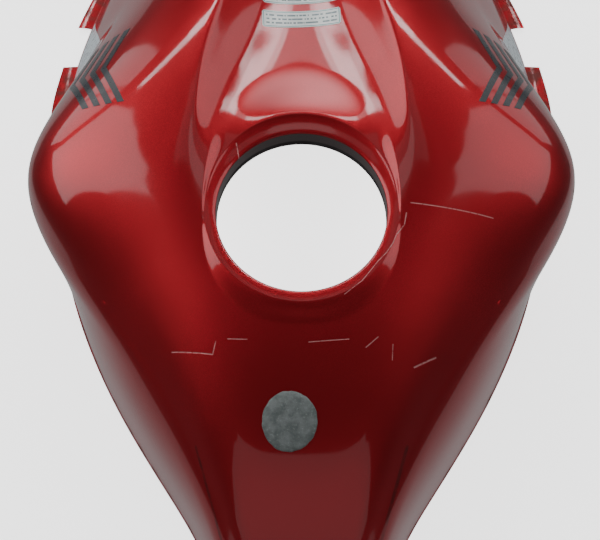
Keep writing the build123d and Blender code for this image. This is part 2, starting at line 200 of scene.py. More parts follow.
def lip_x(y, foot):
    """How far out the lower lip reaches at y: the front lip with its notch, a thin bead elsewhere."""
    bead = foot + BEAD
    if y < LIP_Y[0] or NOTCH_Y[0] < y < NOTCH_Y[1]:
        return bead
    return min(max(bead, float(spline_at(LIP_Y, LIP_X, LIP_BENDS, y))), LIP_X.max())


def section_row(y):
    """The half-section's points from the middle to the lip, the same number at every y."""
    inner, rounded, outer, shoulder, flank = half_section(y)
    flank = along(cut_at(flank, 1, LOWER_EDGE_Z + WALL + 1), FLANK_STEPS)
    foot_x, top = flank[-1, 0], LOWER_EDGE_Z + WALL
    reach = lip_x(y, foot_x)
    lip = [(foot_x + 0.3, top + 0.3), (foot_x + 0.8, top), (reach - 0.2, top), (reach, top - 0.3)]
    return np.vstack([
        along(inner, FLOOR_STEPS), rounded[1:], along(outer, CROWN_STEPS)[1:],
        shoulder[1:], flank[1:], lip])


# ---------------------------------------------------------------- heights of the top face
TABLE_STEP_X, TABLE_STEP_Y = 1.0, 2.0
TABLE_Y = np.arange(-264, 282.5, TABLE_STEP_Y)
TABLE_X = np.arange(0, 206, TABLE_STEP_X)


def crown_table():
    """Height of the top face over a grid of plan positions, without the filler mound."""
    rows = []
    for y in TABLE_Y:
        inner, rounded, outer, shoulder, _ = half_section(y)
        line = np.vstack([inner, rounded[1:], outer[1:], shoulder[1:]])
        rows.append(np.interp(TABLE_X, line[:, 0], line[:, 1]))
    return np.array(rows)


CROWN = crown_table()


def crown_z(x, y):
    """Height of the top face without the mound, by bilinear look-up."""
    fx = np.clip(np.abs(x) / TABLE_STEP_X, 0, len(TABLE_X) - 1.001)
    fy = np.clip((np.asarray(y, float) - TABLE_Y[0]) / TABLE_STEP_Y, 0, len(TABLE_Y) - 1.001)
    i, j = fy.astype(int), fx.astype(int)
    v, u = fy - i, fx - j
    low = CROWN[i, j] * (1 - u) + CROWN[i, j + 1] * u
    high = CROWN[i + 1, j] * (1 - u) + CROWN[i + 1, j + 1] * u
    return low * (1 - v) + high * v


def mound_outline():
    """Radius of the mound's foot by polar angle, 0 at the side and 90 degrees in front."""
    front, side = MOUND_FRONT_Y, MOUND_SIDE_R
    points = bezier(np.array([side, 0]), np.array([side, 0.5 * front]), np.array([0.42 * front, front]),
                    np.array([0, front]), np.linspace(0, 1, 200))
    return np.arctan2(points[:, 1], points[:, 0]), np.hypot(points[:, 0], points[:, 1])


FOOT_ANGLES, FOOT_RADII = mound_outline()


def rim_radius(angle):
    """Radius of the mound's rim by polar angle."""
    return RIM_SIDE_R + (RIM_FRONT_R - RIM_SIDE_R) * np.clip(np.sin(angle), 0, 1) ** 1.5


def rim_z(angle):
    """Height of the mound's rim by polar angle."""
    return RIM_SIDE_Z + RIM_SWING_Z * np.tanh(2.2 * np.sin(angle))


def foot_radius(angle):
    """Radius of the mound's foot by polar angle: the outline in front, a superellipse behind."""
    folded = np.abs(np.arctan2(np.abs(np.cos(angle)), np.sin(angle)))
    ahead = np.interp(np.pi / 2 - folded, FOOT_ANGLES, FOOT_RADII, left=MOUND_SIDE_R)
    across, back = np.abs(np.cos(angle)) / MOUND_SIDE_R, np.abs(np.sin(angle)) / MOUND_REAR_R
    behind = (across**FOOT_POWER + back**FOOT_POWER) ** (-1 / FOOT_POWER)
    return np.where(np.sin(angle) > 0, ahead, behind)


def top_z(x, y):
    """Height of the top face with the filler mound, outside its rim."""
    angle = np.arctan2(y, x)
    rim = rim_radius(angle)
    share = np.clip((np.hypot(x, y) - rim) / (foot_radius(angle) - rim), 0, 1)
    rise = rim_z(angle) - crown_z(rim * np.cos(angle), rim * np.sin(angle))
    return crown_z(x, y) + rise * (0.5 + 0.5 * np.cos(np.pi * share))


# ---------------------------------------------------------------- meshes
def make_piece(name, points, faces, smooth_angle=40.0, merge=True):
    """A mesh object from points in millimetres, smooth except at sharp edges."""
    mesh = bpy.data.meshes.new(name)
    mesh.from_pydata([tuple(np.asarray(p) * MM) for p in points], [], faces)
    if merge:
        work = bmesh.new()
        work.from_mesh(mesh)
        bmesh.ops.remove_doubles(work, verts=work.verts, dist=0.01 * MM)
        work.to_mesh(mesh)
        work.free()
    thing = bpy.data.objects.new(name, mesh)
    bpy.context.scene.collection.objects.link(thing)
    mesh.shade_smooth()
    mesh.set_sharp_from_angle(angle=math.radians(smooth_angle))
    return thing


def apply_modifier(thing, kind, **settings):
    """Adds a modifier to a piece and makes its result the piece's mesh."""
    modifier = thing.modifiers.new(kind.title(), kind)
    for key, value in settings.items():
        setattr(modifier, key, value)
    bpy.context.view_layer.update()
    evaluated = thing.evaluated_get(bpy.context.evaluated_depsgraph_get())
    thing.data = bpy.data.meshes.new_from_object(evaluated)
    thing.modifiers.clear()


def grid_faces(rows, columns, start=0, closed=False):
    """Quads of a row-by-column grid of points."""
    last = columns if closed else columns - 1
    return [
        (start + i * columns + j, start + i * columns + (j + 1) % columns,
         start + (i + 1) * columns + (j + 1) % columns, start + (i + 1) * columns + j)
        for i in range(rows - 1) for j in range(last)]


# ---------------------------------------------------------------- the red shell
def front_y(x):
    """Where the front wall stands: set back in the middle, forward at the horns."""
    t = np.clip((np.abs(x) - RECESS_HALF) / (HORN_X - RECESS_HALF), 0, 1)
    return RECESS_Y + (FRONT_Y - RECESS_Y) * t * t * (3 - 2 * t)


def row_positions():
    """The rows' y positions, with pairs of rows at the notch's ends."""
    rows = set(np.round(np.linspace(REAR_Y, FRONT_Y, int((FRONT_Y - REAR_Y) / ROW_STEP) + 1), 3))
    for special in (*NOTCH_Y, *PATCH_Y):
        rows = {y for y in rows if abs(y - special) > 0.5 * ROW_STEP}
    for y in NOTCH_Y:
        rows |= {y - 0.3, y + 0.3}
    return np.array(sorted(rows | set(PATCH_Y)))


def skin_grid():
    """Rows by columns of points over the whole outer face, left lip to right lip."""
    rows = row_positions()
    half = np.array([section_row(y) for y in rows])
    stand = np.repeat(rows[:, None], half.shape[1], axis=1)
    front = rows > WARP_Y
    for j in range(half.shape[1]):
        x_line, z_line = half[:, j, 0].copy(), half[:, j, 1].copy()
        wanted = rows[front]
        share = (wanted - WARP_Y) / (FRONT_Y - WARP_Y)
        for _ in range(6):
            x_there = np.interp(wanted, rows, x_line)
            wanted = WARP_Y + share * (front_y(x_there) - WARP_Y)
        half[front, j, 0] = np.interp(wanted, rows, x_line)
        half[front, j, 1] = np.interp(wanted, rows, z_line)
        stand[front, j] = wanted
    right = np.dstack([half[:, :, 0], stand, half[:, :, 1]])
    left = right[:, :0:-1] * (-1, 1, 1)
    return rows, np.hstack([left, right])


DECK_RINGS, SLOPE_RINGS, RING_RINGS = 10, 22, 8
CREASE_HALF, EDGE_ROUND = 0.3, 0.4
SKIRT_ZS = (-0.6, -1.6, -4, -7, -10, SKIRT_BOTTOM_Z)


def filler_patch(loop):
    """Rings of points from a closed boundary loop to the filler's skirt.

    They cross the deck to the mound's foot, climb its slope to the rim, where a crease shows in front
    only, and go down over the ring and the opening's edge.
    """
    count = len(loop)
    polar = np.unwrap(np.arctan2(loop[:, 1], loop[:, 0]))
    even = polar[0] + 2 * np.pi * np.arange(count) / count
    angle = 0.5 * polar + 0.5 * even
    reach = np.interp(angle, np.r_[polar - 2 * np.pi, polar, polar + 2 * np.pi],
                      np.tile(np.hypot(loop[:, 0], loop[:, 1]), 3))
    margin = 0.8
    foot = np.minimum(foot_radius(angle), reach - margin)
    direction = np.column_stack([np.cos(angle), np.sin(angle)])
    rings = [loop]
    for t in np.linspace(0, 1, DECK_RINGS)[1:]:
        plan = loop[:, :2] * (1 - t) + direction * foot[:, None] * t
        rings.append(np.column_stack([plan, top_z(plan[:, 0], plan[:, 1])]))
    rim = rim_radius(angle)
    for t in np.linspace(0, 1, SLOPE_RINGS)[1:-1]:
        plan = direction * (foot + (rim + margin - foot) * t)[:, None]
        rings.append(np.column_stack([plan, top_z(plan[:, 0], plan[:, 1])]))
    crest = rim_z(angle)
    for offset in (CREASE_HALF, -CREASE_HALF):
        rings.append(np.column_stack([direction * (rim + offset)[:, None], crest - 0.02]))
    creased = np.clip(np.sin(angle), 0, 1) ** 0.5
    for share in np.linspace(0.92, 0.14, RING_RINGS):
        radius = FILLER_R + (rim - FILLER_R) * share
        smooth, straight = 1 - (1 - share) ** 2, share * (1.0 - 0.25 * math.sin(math.pi * share))
        height = crest * (smooth + (straight - smooth) * creased)
        rings.append(np.column_stack([direction * radius[:, None], height]))
    rings.append(np.column_stack([direction * (FILLER_R + EDGE_ROUND), np.full(count, -0.05)]))
    for z in SKIRT_ZS:
        rings.append(np.column_stack([direction * FILLER_R, np.full(count, z)]))
    return np.array(rings)


FRONT_WALL_ROWS, REAR_WALL_ROWS = 24, 12
REAR_WALL_TAPER = 0.97


def front_curtain(edge):
    """The front wall: from the top face's front edge down to the opening for the frame."""
    count = len(edge)
    half, top, r = OPENING_HALF, OPENING_TOP_Z, OPENING_ROUND
    turn = np.linspace(0, math.pi / 2, 9)
    corner = [(-half + r - r * math.cos(a), top - r + r * math.sin(a)) for a in turn]
    left = np.array([(-half, LOWER_EDGE_Z), *corner])
    outline = along(np.vstack([left, left[::-1] * (-1, 1)]), count - 1)
    rows = [edge]
    for t in np.linspace(0, 1, FRONT_WALL_ROWS)[1:]:
        plan = edge[:, (0, 2)] * (1 - t) + outline * t
        plan[[0, -1], 1] = LOWER_EDGE_Z
        rows.append(np.column_stack([plan[:, 0], front_y(plan[:, 0]), plan[:, 1]]))
    return np.array(rows)


def rear_curtain(edge):
    """The rear wall, from the top face's rear edge to the lower edge."""
    bottom = np.tile([0.0, REAR_Y, LOWER_EDGE_Z], (len(edge), 1))
    bottom[:, 0] = REAR_WALL_TAPER * edge[:, 0]
    rows = [edge * (1 - t) + bottom * t for t in np.linspace(0, 1, REAR_WALL_ROWS)]
    for row in rows[1:]:
        row[[0, -1], 2] = LOWER_EDGE_Z
    return np.array(rows)


FASTENER_HOLES = (
    (28.0, RECESS_Y, -52.0, 6.3),
    (-28.0, RECESS_Y, -52.0, 6.3),
    (88.0, FRONT_Y, -84.0, 5.6),
    (-88.0, FRONT_Y, -84.0, 5.6),
    (88.0, FRONT_Y, -137.0, 4.5),
    (-88.0, FRONT_Y, -137.0, 4.5),
    (0.0, REAR_Y, -141.0, 6.3),
)


def in_fastener_hole(centre):
    """Whether a face with this centre lies inside a fastener's hole."""
    return any(
        abs(centre[1] - y) < 1 and math.hypot(centre[0] - x, centre[2] - z) < radius
        for x, y, z, radius in FASTENER_HOLES)


def keep_in_cad_box(thing):
    """Flattens what the wall's thickness pushes past the CAD model's limits, by tenths of a millimetre."""
    places = np.empty(len(thing.data.vertices) * 3, np.float32)
    thing.data.vertices.foreach_get("co", places)
    places = np.clip(places.reshape(-1, 3), cad_box[0], cad_box[1])
    thing.data.vertices.foreach_set("co", places.ravel())


def red_shell():
    """The whole red moulding as one thin-walled piece."""
    rows, grid = skin_grid()
    count_rows, columns = grid.shape[:2]
    points = grid.reshape(-1, 3)
    low, high = (int(np.argmin(abs(rows - y))) for y in PATCH_Y)
    middle = columns // 2
    left, right = middle - FLOOR_STEPS, middle + FLOOR_STEPS
    faces = [
        face for index, face in enumerate(grid_faces(count_rows, columns))
        if not (low <= index // (columns - 1) < high and left <= index % (columns - 1) < right)]
    loop = np.vstack([
        grid[low:high, right], grid[high, right:left:-1], grid[high:low:-1, left], grid[low, left:right]])
    rings = filler_patch(loop)
    lip = 4
    front_wall = front_curtain(grid[-1, lip:columns - lip])
    rear_wall = rear_curtain(grid[0, columns - lip - 1:lip - 1:-1])
    for block, closed in ((rings, True), (front_wall, False), (rear_wall, False)):
        faces += [
            face[::-1] if closed else face
            for face in grid_faces(block.shape[0], block.shape[1], len(points), closed)]
        points = np.vstack([points, block.reshape(-1, 3)])
    faces = [face for face in faces if not in_fastener_hole(points[list(face)].mean(axis=0))]
    shell = make_piece("painted_shell", points, faces)
    work = bmesh.new()
    work.from_mesh(shell.data)
    bmesh.ops.delete(work, geom=[v for v in work.verts if not v.link_faces], context="VERTS")
    bmesh.ops.recalc_face_normals(work, faces=work.faces)
    work.to_mesh(shell.data)
    work.free()
    apply_modifier(shell, "SOLIDIFY", thickness=WALL * MM, offset=-1, use_even_offset=False)
    keep_in_cad_box(shell)
    shell.data.shade_smooth()
    shell.data.set_sharp_from_angle(angle=math.radians(38))
    return shell


# ---------------------------------------------------------------- films and pads that follow the shell
def lay_on_top(x, y, lift):
    """Points on the top face at plan positions, lifted square to it."""
    step = 0.5
    slope_x = (top_z(x + step, y) - top_z(x - step, y)) / (2 * step)
    slope_y = (top_z(x, y + step) - top_z(x, y - step)) / (2 * step)
    normal = np.stack([-slope_x, -slope_y, np.ones_like(slope_x)], axis=-1)
    normal /= np.linalg.norm(normal, axis=-1, keepdims=True)
    return np.stack([x, y, top_z(x, y)], axis=-1) + normal * np.asarray(lift)[..., None]


def flank_x(y, z):
    """How far out the flank stands at a height z of the cross-section at y."""
    flank = half_section(y)[4]
    return float(np.interp(-z, -flank[:, 1], flank[:, 0]))


def slab_between(name, lower, upper, place):
    """A closed piece between two grids of points. place keeps each point's flat position in millimetres."""
    rows, columns = lower.shape[:2]
    top = grid_faces(rows, columns, rows * columns)
    bottom = [face[::-1] for face in grid_faces(rows, columns)]
    ring = [j for j in range(columns)] + [i * columns + columns - 1 for i in range(1, rows)]
    ring += [(rows - 1) * columns + j for j in range(columns - 2, -1, -1)]
    ring += [i * columns for i in range(rows - 2, 0, -1)]
    side = [(a, b, b + rows * columns, a + rows * columns) for a, b in zip(ring, ring[1:] + ring[:1])]
    points = np.vstack([lower.reshape(-1, 3), upper.reshape(-1, 3)])
    thing = make_piece(name, points, bottom + top + side, merge=False)
    flat = np.zeros((len(points), 3), np.float32)
    flat[:, :2] = np.vstack([place.reshape(-1, 2)] * 2)
    thing.data.attributes.new("place", "FLOAT_VECTOR", "POINT").data.foreach_set("vector", flat.ravel())
    settle_normals(thing)
    return thing


def settle_normals(thing):
    """Turns the faces of a closed piece outwards."""
    work = bmesh.new()
    work.from_mesh(thing.data)
    bmesh.ops.recalc_face_normals(work, faces=work.faces)
    work.to_mesh(thing.data)
    work.free()


def label_film(name, cad_node, y):
    """A pale label on the channel's floor: a rectangle with rounded corners, a little askew."""
    width, height, corner = 59.0, 14.5, 1.5
    u, v = np.meshgrid(np.linspace(-1, 1, 50), np.linspace(-1, 1, 16))
    flat = np.stack([u * width / 2, v * height / 2], axis=-1)
    pinch = np.clip((np.abs(flat[..., 0]) - (width / 2 - corner)) / corner, 0, 1)
    flat[..., 1] *= 1 - (1 - np.sqrt(1 - pinch**2)) * 2 * corner / height
    turn = math.radians(2.5)
    x = flat[..., 0] * math.cos(turn) - flat[..., 1] * math.sin(turn)
    across = flat[..., 0] * math.sin(turn) + flat[..., 1] * math.cos(turn) + y
    film = slab_between(name, lay_on_top(x, across, 0 * x + 0.02), lay_on_top(x, across, 0 * x + 0.24), flat)
    dress(film, "cover", [cad_node])
    return film


def dress(thing, body, nodes):
    """Fixes a piece to a body, in the place of CAD nodes if any."""
    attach(thing, body)
    if nodes:
        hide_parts(*nodes)


CHEVRONS, CHEVRON_PITCH, CHEVRON_BAR, CHEVRON_SWEEP, CHEVRON_HALF = 4, 9.0, 5.0, 16.0, 36.0
CHEVRON_TIP = (177.0, 121.0)


def chevron_film(side, word):
    """Slanted chevrons on a front shoulder, tips outwards, as one piece of several bars."""
    bars = []
    for index in range(CHEVRONS):
        v, u = np.meshgrid(np.linspace(-1, 1, 41), np.linspace(0, 1, 6), indexing="ij")
        x = CHEVRON_TIP[0] - index * CHEVRON_PITCH - CHEVRON_SWEEP * np.abs(v) - CHEVRON_BAR * u
        y = CHEVRON_TIP[1] + CHEVRON_HALF * v
        flat = np.stack([CHEVRON_BAR * (u - 0.5), CHEVRON_HALF * v], axis=-1)
        sheets = [lay_on_top(x, y, 0 * x + lift) * (side, 1, 1) for lift in (0.02, 0.22)]
        bars.append(slab_between(f"{word}_chevron_{index + 1}", *sheets, flat))
    for bar in bars:
        dress(bar, "cover", [])
    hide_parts(f"{word}_chevron_decal")
    return bars


def flank_film(side, word):
    """A pale flash on a front flank: a four-sided film seen from the side."""
    corners = np.array([(172, -153), (150, -94), (182, -82), (236, -149)], float)
    v, u = np.meshgrid(np.linspace(0, 1, 24), np.linspace(0, 1, 24), indexing="ij")
    flat = ((1 - u)[..., None] * ((1 - v)[..., None] * corners[0] + v[..., None] * corners[1])
            + u[..., None] * ((1 - v)[..., None] * corners[3] + v[..., None] * corners[2]))
    out = np.array([[flank_x(y, z) for y, z in row] for row in flat])
    sheets = [np.stack([side * (out + lift), flat[..., 0], flat[..., 1]], axis=-1) for lift in (0.02, 0.26)]
    film = slab_between(f"{word}_flank_flash", *sheets, flat - (190, -120))
    dress(film, "cover", [f"{word}_flank_decal"])
    return film


PAD_X, PAD_Y, PAD_R, PAD_T = -8.3, -147.4, 19.4, 1.75


def pad_disc():
    """A round foam pad on the rear slope, its edge rolled down and cut a little unevenly."""
    rng = np.random.default_rng(7)
    around, rings = 96, 14
    angle = np.linspace(0, 2 * np.pi, around, endpoint=False)
    waves = (2, 3, 5, 8, 13, 21)
    ragged = sum(rng.uniform(0.05, 0.16) * np.sin(k * angle + rng.uniform(0, 6)) for k in waves)
    share = np.sin(np.linspace(0, np.pi / 2, rings))
    radius = share[:, None] * (PAD_R + ragged)[None, :]
    x, y = PAD_X + radius * np.cos(angle), PAD_Y + radius * np.sin(angle)
    dimple = 0.12 * np.sin(x * 0.9) * np.cos(y * 0.7)
    height = PAD_T * np.sqrt(1 - 0.995 * share[:, None] ** 12) + dimple * (1 - share[:, None] ** 2)
    upper = lay_on_top(x, y, height + 0.05)
    points = np.vstack([upper.reshape(-1, 3), lay_on_top(x[-1], y[-1], 0 * x[-1])])
    faces = grid_faces(rings + 1, around, 0, closed=True)
    points = np.vstack([points, lay_on_top(np.array([PAD_X]), np.array([PAD_Y]), np.array([0.0]))])
    last = len(points) - 1
    faces += [(rings * around + (j + 1) % around, rings * around + j, last) for j in range(around)]
    pad = make_piece("rear_foam_pad", points, faces)
    settle_normals(pad)
    dress(pad, "cover", ["rear_pad"])
    return pad


# ---------------------------------------------------------------- materials
def material(name, colour, roughness, metallic=0.0, **settings):
    """A Principled material and its shader node. Other inputs are given by name with _ for a space."""
    made = bpy.data.materials.new(name)
    made.use_nodes = True
    shader = made.node_tree.nodes["Principled BSDF"]
    shader.inputs["Base Color"].default_value = (*colour, 1)
    shader.inputs["Roughness"].default_value = roughness
    shader.inputs["Metallic"].default_value = metallic
    for key, value in settings.items():
        shader.inputs[key.replace("_", " ")].default_value = value
    return made, shader


def node(made, kind, inputs=None, **settings):
    """A shader node with its inputs linked to sockets or set to constants."""
    new = made.node_tree.nodes.new("ShaderNode" + kind)
    for key, value in settings.items():
        setattr(new, key, value)
    for key, value in (inputs or {}).items():
        if isinstance(value, bpy.types.NodeSocket):
            made.node_tree.links.new(value, new.inputs[key])
        else:
            new.inputs[key].default_value = value
    return new


def link(made, socket, shader, name):
    """Links a socket to the shader's input of that name."""
    made.node_tree.links.new(socket, shader.inputs[name])


def place_of(made):
    """Object coordinates: metres in the shared frame."""
    return node(made, "TexCoord").outputs["Object"]


def noise(made, place, scale, detail=2.0, rough=0.5):
    """A noise texture's grey value."""
    inputs = {"Vector": place, "Scale": scale, "Detail": detail, "Roughness": rough}
    return node(made, "TexNoise", inputs).outputs["Fac"]


def span(made, value, low, high, out_low=0.0, out_high=1.0):
    """Value mapped from low-high to out_low-out_high, clamped, with soft ends."""
    inputs = {0: value, 1: low, 2: high, 3: out_low, 4: out_high}
    return node(made, "MapRange", inputs, interpolation_type="SMOOTHSTEP").outputs[0]


def times(made, a, b):
    """Product of two values."""
    return node(made, "Math", {0: a, 1: b}, operation="MULTIPLY").outputs[0]


def most(made, a, b):
    """The larger of two values."""
    return node(made, "Math", {0: a, 1: b}, operation="MAXIMUM").outputs[0]


def blend_colour(made, share, first, second):
    """Colour from first to second; each is a colour or a socket."""
    mixer = node(made, "Mix", {0: share}, data_type="RGBA")
    for index, colour in ((6, first), (7, second)):
        if isinstance(colour, bpy.types.NodeSocket):
            made.node_tree.links.new(colour, mixer.inputs[index])
        else:
            mixer.inputs[index].default_value = (*colour, 1)
    return mixer.outputs[2]


def bump(made, height, strength, distance_mm, normal=None):
    """A normal bent by a height, on top of another normal if one is given."""
    inputs = {"Height": height, "Strength": strength, "Distance": distance_mm * MM}
    if normal:
        inputs["Normal"] = normal
    return node(made, "Bump", inputs).outputs["Normal"]


# ends of scratches in plan, mm, with their half width; the run from (74.4, -2.6) to (30.0, -63.5) is no
# scratch but a painted highlight along the rim's crease
SCRATCHES_AND_RIM_HIGHLIGHT = (
    (-91.9, -94.6, -62.2, -101.5, 0.22),
    (-62.2, -101.5, -60.0, -93.0, 0.2),
    (-51.5, -92.0, -38.0, -93.0, 0.18),
    (5.0, -95.5, 33.0, -93.0, 0.18),
    (45.0, -98.0, 53.5, -90.5, 0.2),
    (64.0, -94.5, 63.5, -105.0, 0.16),
    (79.5, -107.0, 95.5, -97.0, 0.3),
    (77.7, 4.9, 137.7, 0.3, 0.22),
    (-44.0, 36.0, -47.0, 52.0, 0.22),
    # painted highlight: these seven runs trace the rim's crease around the filler as a pale line where light
    # catches it
    (74.4, -2.6, 72.9, -11.2, 0.22),
    (72.9, -11.2, 67.1, -18.7, 0.22),
    (67.1, -18.7, 64.5, -25.2, 0.2),
    (64.5, -25.2, 59.8, -32.4, 0.2),
    (59.8, -32.4, 54.1, -38.3, 0.2),
    (54.1, -38.3, 42.6, -53.3, 0.16),
    (42.6, -53.3, 30.0, -63.5, 0.14),
)
RUBS = (
    (75.0, -157.0, 57.0, -218.0, 0.7),
    (-75.0, -157.0, -57.0, -218.0, 0.5),
)


def near_lines(made, place, lines, soft=2.2):
    """1 close to any of the lines in plan, 0 elsewhere."""
    flat = node(made, "VectorMath", {0: place, 1: (1, 1, 0)}, operation="MULTIPLY").outputs[0]
    found = None
    for x0, y0, x1, y1, half_width in lines:
        start = Vector((x0, y0, 0)) * MM
        run = Vector((x1 - x0, y1 - y0, 0)) * MM
        offset = node(made, "VectorMath", {0: flat, 1: start}, operation="SUBTRACT").outputs[0]
        scaled = run / run.length_squared
        share = node(made, "VectorMath", {0: offset, 1: scaled}, operation="DOT_PRODUCT").outputs["Value"]
        share = node(made, "Clamp", {"Value": share}).outputs[0]
        nearest = node(made, "VectorMath", {0: run, "Scale": share}, operation="SCALE").outputs[0]
        gap = node(made, "VectorMath", {0: offset, 1: nearest}, operation="DISTANCE").outputs["Value"]
        mark = span(made, gap, half_width * MM, half_width * soft * MM, 1.0, 0.0)
        found = most(made, found, mark) if found else mark
    return found


def red_paint():
    """Metallic red with a clear coat: flakes, orange peel, scratches, rubbed shoulders, road dirt, a painted
    highlight along the rim and painted shade low down and in the bore.
    """
    made, shader = material(
        "candy_red_paint", (0.44, 0.010, 0.020), 0.36, 0.72,
        Coat_Weight=1.0, Coat_Roughness=0.035, Coat_IOR=1.5, Specular_IOR_Level=0.3)
    place = place_of(made)
    flakes = node(made, "TexVoronoi", {"Vector": place, "Scale": 2600.0})
    flake = span(made, flakes.outputs["Color"], 0.15, 0.9)
    cloud = noise(made, place, 9.0, 3.0)
    patch = noise(made, place, 70.0, 4.0, 0.6)
    colour = blend_colour(made, flake, (0.34, 0.006, 0.013), (0.50, 0.012, 0.022))
    tint = blend_colour(made, span(made, cloud, 0.35, 0.7), (0.37, 0.007, 0.014), colour)
    scratches_and_painted_highlight = near_lines(made, place, SCRATCHES_AND_RIM_HIGHLIGHT)
    broken = span(made, noise(made, place, 420.0, 3.0), 0.30, 0.50, 0.25, 0.8)
    scratches_and_painted_highlight = times(made, scratches_and_painted_highlight, broken)
    rubbed = times(made, near_lines(made, place, RUBS), span(made, patch, 0.35, 0.6, 0.2, 0.6))
    apart = node(made, "SeparateXYZ", {0: place})
    outer = node(made, "Math", {0: apart.outputs["X"]}, operation="ABSOLUTE").outputs[0]
    edge = span(made, outer, 198 * MM, 207 * MM)
    scuffed = times(made, edge, span(made, noise(made, place, 190.0, 5.0, 0.7), 0.56, 0.62))
    # darker in patches towards the lower edge: partly road dirt, partly painted shade in the crease above
    # the lip and near the floor
    low = span(made, apart.outputs["Z"], -146 * MM, -157 * MM)
    dirt_and_painted_crease_shade = times(made, low, span(made, patch, 0.42, 0.66, 0.0, 0.7))
    tint = blend_colour(made, rubbed, tint, (0.09, 0.01, 0.01))
    tint = blend_colour(made, dirt_and_painted_crease_shade, tint, (0.07, 0.03, 0.02))
    tint = blend_colour(made, scuffed, tint, (0.025, 0.02, 0.02))
    # pale red for the scratches, and for the painted highlight along the rim's crease
    tint = blend_colour(made, scratches_and_painted_highlight, tint, (0.62, 0.30, 0.30))
    # near-black inside the filler's bore: partly its bare dark plastic, partly painted shade down the bore
    flat = node(made, "VectorMath", {0: place, 1: (1, 1, 0)}, operation="MULTIPLY").outputs[0]
    off_axis = node(made, "VectorMath", {0: flat}, operation="LENGTH").outputs["Value"]
    bare_and_shaded_bore = times(made, span(made, off_axis, 61.3 * MM, 62.0 * MM, 1.0, 0.0),
                   span(made, apart.outputs["Z"], -0.4 * MM, -1.4 * MM))
    tint = blend_colour(made, bare_and_shaded_bore, tint, (0.030, 0.006, 0.007))
    link(made, tint, shader, "Base Color")
    # scratches, scuffs and dirt, and also the painted highlight and painted shade, dull the metal flake and
    # the clear coat
    wear_and_painted_light = most(made, most(made, most(made, scratches_and_painted_highlight, scuffed), dirt_and_painted_crease_shade), bare_and_shaded_bore)
    link(made, span(made, wear_and_painted_light, 0.0, 1.0, 0.72, 0.0), shader, "Metallic")
    link(made, span(made, wear_and_painted_light, 0.0, 0.8, 1.0, 0.0), shader, "Coat Weight")
    link(made, span(made, patch, 0.3, 0.75, 0.05, 0.08), shader, "Coat Roughness")
    peel = noise(made, place, 260.0, 1.0)
    waves = bump(made, peel, 0.02, 0.3)
    link(made, waves, shader, "Coat Normal")
    grain = bump(made, flakes.outputs["Color"], 0.25, 0.08, bump(made, scratches_and_painted_highlight, 0.6, -0.15, waves))
    link(made, grain, shader, "Normal")
    return made


def label_print(name, rows, seed):
    """Pale film with a thin teal border and rows of plain dashes in place of print."""
    made, shader = material(name, (0.90, 0.94, 0.92), 0.35, Coat_Weight=0.35, Coat_Roughness=0.12)
    flat = node(made, "Attribute", attribute_name="place").outputs["Vector"]
    apart = node(made, "SeparateXYZ", {0: flat})
    across = node(made, "Math", {0: apart.outputs["X"]}, operation="ABSOLUTE").outputs[0]
    up = node(made, "Math", {0: apart.outputs["Y"]}, operation="ABSOLUTE").outputs[0]
    frame_line = None
    for value, edge in ((across, 28.3), (up, 6.05)):
        outside = span(made, value, edge - 0.12, edge + 0.02)
        frame_line = most(made, frame_line, outside) if frame_line else outside
    margin = None
    for value, edge in ((across, 28.75), (up, 6.5)):
        outside = span(made, value, edge - 0.05, edge + 0.08)
        margin = most(made, margin, outside) if margin else outside
    border = times(made, frame_line, span(made, margin, 0.0, 1.0, 1.0, 0.0))
    inside = times(made, span(made, across, 26.5, 26.9, 1.0, 0.0), span(made, up, 4.9, 5.1, 1.0, 0.0))
    row_height = 10.0 / rows
    shifted = node(made, "Math", {0: apart.outputs["Y"], 1: 5.0}, operation="ADD").outputs[0]
    row = node(made, "Math", {0: shifted, 1: row_height}, operation="DIVIDE").outputs[0]
    part = node(made, "Math", {0: row}, operation="FRACT").outputs[0]
    line = times(made, span(made, part, 0.26, 0.32), span(made, part, 0.66, 0.72, 1.0, 0.0))
    step = node(made, "Math", {0: row}, operation="FLOOR").outputs[0]
    cell = node(made, "CombineXYZ", {0: times(made, apart.outputs["X"], 0.42), 1: step, 2: seed}).outputs[0]
    broken = node(made, "TexNoise", {"Vector": cell, "Scale": 1.6, "Detail": 0.0}).outputs["Fac"]
    ink = times(made, times(made, line, span(made, broken, 0.40, 0.43)), inside)
    patina = noise(made, place_of(made), 300.0, 4.0, 0.7)
    paper = blend_colour(made, span(made, patina, 0.35, 0.75), (0.82, 0.88, 0.86), (0.93, 0.96, 0.94))
    colour = blend_colour(made, border, paper, (0.06, 0.34, 0.36))
    faded = times(made, ink, span(made, patina, 0.3, 0.5, 0.6, 0.95))
    link(made, blend_colour(made, faded, colour, (0.10, 0.20, 0.22)), shader, "Base Color")
    link(made, bump(made, patina, 0.12, 0.1), shader, "Normal")
    return made


def vinyl(name, colour, worn_colour, roughness):
    """Vinyl film: slight waves, fine scratches and worn edges."""
    made, shader = material(name, colour, roughness, Coat_Weight=0.12, Coat_Roughness=0.2)
    place = place_of(made)
    patina = noise(made, place, 240.0, 5.0, 0.7)
    stretched = node(made, "Mapping", {"Vector": place, "Scale": (60, 700, 60)}).outputs[0]
    hairs = node(made, "TexNoise", {"Vector": stretched, "Scale": 1.0, "Detail": 3.0}).outputs["Fac"]
    share = most(made, span(made, patina, 0.62, 0.72, 0.0, 0.75), span(made, hairs, 0.66, 0.74, 0.0, 0.35))
    link(made, blend_colour(made, share, colour, worn_colour), shader, "Base Color")
    link(made, span(made, patina, 0.3, 0.75, roughness * 0.8, roughness * 1.5), shader, "Roughness")
    link(made, bump(made, patina, 0.15, 0.08), shader, "Normal")
    return made


